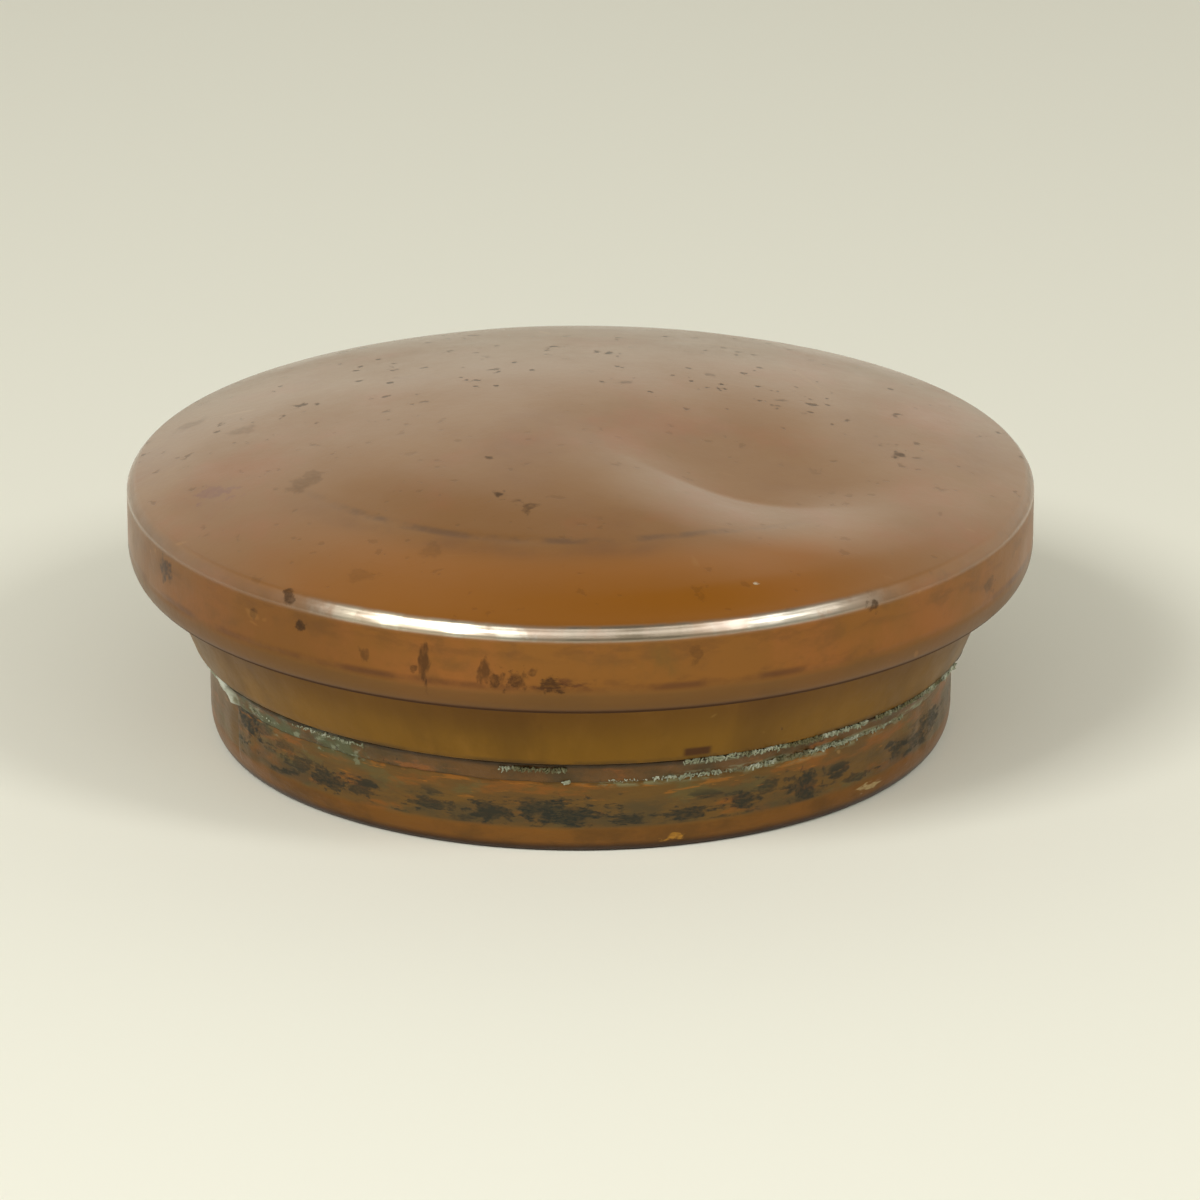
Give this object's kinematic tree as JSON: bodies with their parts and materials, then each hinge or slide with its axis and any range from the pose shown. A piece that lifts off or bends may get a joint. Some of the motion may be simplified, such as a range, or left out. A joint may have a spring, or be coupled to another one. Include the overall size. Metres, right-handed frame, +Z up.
{
  "type": "round lidded money box",
  "caption": "Small round box of copper and brass sheet with a domed lift-off lid, a flared wall and a rolled foot, for keeping coins.",
  "frame": {"origin": "centre of the flat ring that the foot stands on", "axes": "+Z up along the axis of the round box, -Y towards the viewer of the picture"},
  "size_m": [0.068, 0.068, 0.0259],
  "materials": {
    "lid_copper": "old polished copper with brown patina",
    "wire_copper": "dull copper wire",
    "brass": "aged brass, olive brown",
    "solder": "old soft solder with green and white corrosion",
    "foot_copper": "copper with dark worn patina"
  },
  "bodies": {
    "box": {"mouth_ring": "brass", "flared_wall": "brass", "seam_solder": "solder", "foot_band": "foot_copper", "foot_edge_wire": "wire_copper", "floor_plate": "foot_copper", "floor_solder": "solder"},
    "lid": {"lid_crown": "lid_copper", "lid_edge_wire": "wire_copper"}
  },
  "joints": [
    {"name": "lid_lift", "type": "slide", "parent": "box", "child": "lid", "axis": [0, 0, 1], "range_m": [0, 0.04]}
  ]
}
